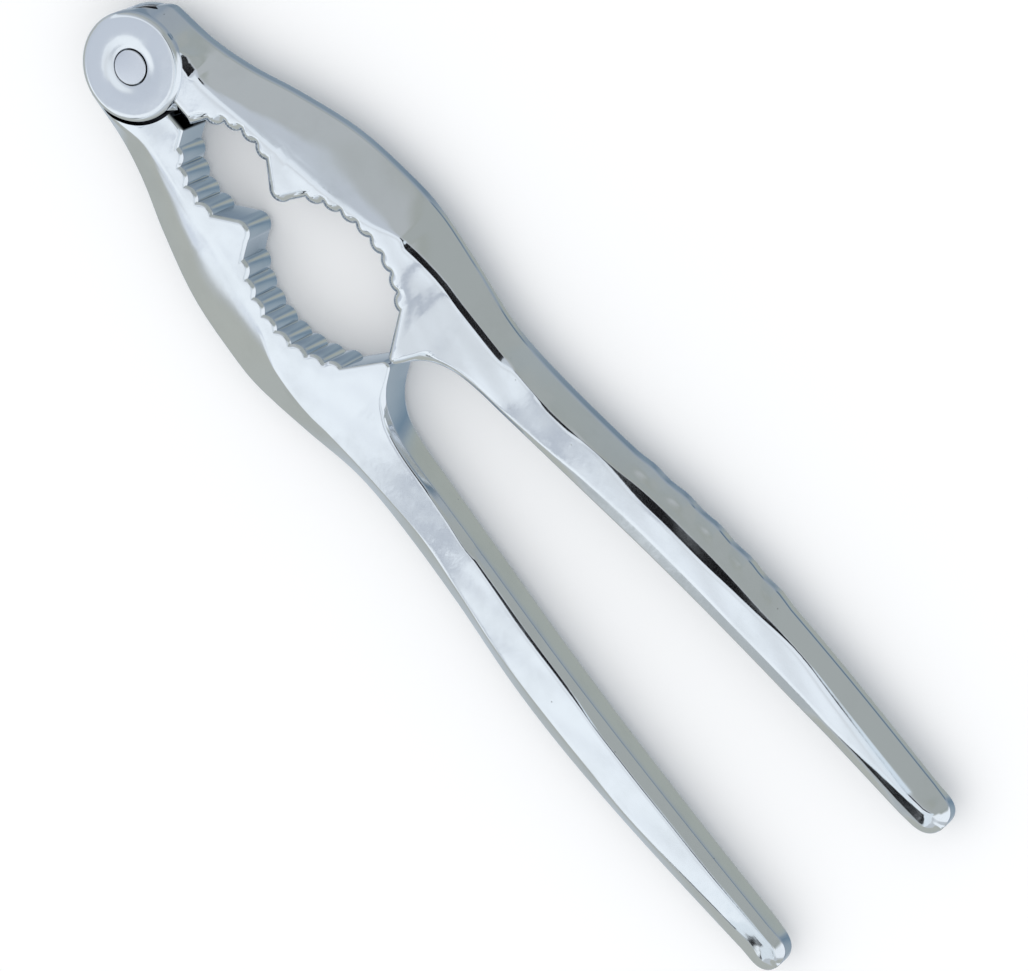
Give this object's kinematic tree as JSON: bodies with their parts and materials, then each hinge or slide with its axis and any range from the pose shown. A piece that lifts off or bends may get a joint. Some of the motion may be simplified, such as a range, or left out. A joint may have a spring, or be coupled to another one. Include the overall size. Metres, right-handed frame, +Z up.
{
  "type": "lever nutcracker",
  "caption": "Hand nutcracker: two chrome-plated levers on a pivot pin, with a small and a large toothed hollow between them.",
  "frame": {"origin": "on the pivot axis, at the underside of the pin and of the lower ear", "axes": "+X from the pivot to the handle tips along the line between the closed levers, +Y towards the fork lever, +Z up along the pivot pin"},
  "size_m": [0.1697, 0.0442, 0.0092],
  "materials": {
    "chrome_plate": "bright chrome plating over a smooth casting",
    "pin_steel": "plated pin end, slightly duller than the levers"
  },
  "bodies": {
    "fork": {"fork_lever": "chrome_plate", "pivot_pin": "pin_steel"},
    "tongue": {"tongue_lever": "chrome_plate"}
  },
  "joints": [
    {"name": "lever_pivot", "type": "hinge", "parent": "fork", "child": "tongue", "pos_m": [0, 0, 0.0046], "axis": [0, 0, -1], "range_deg": [0, 140]}
  ]
}
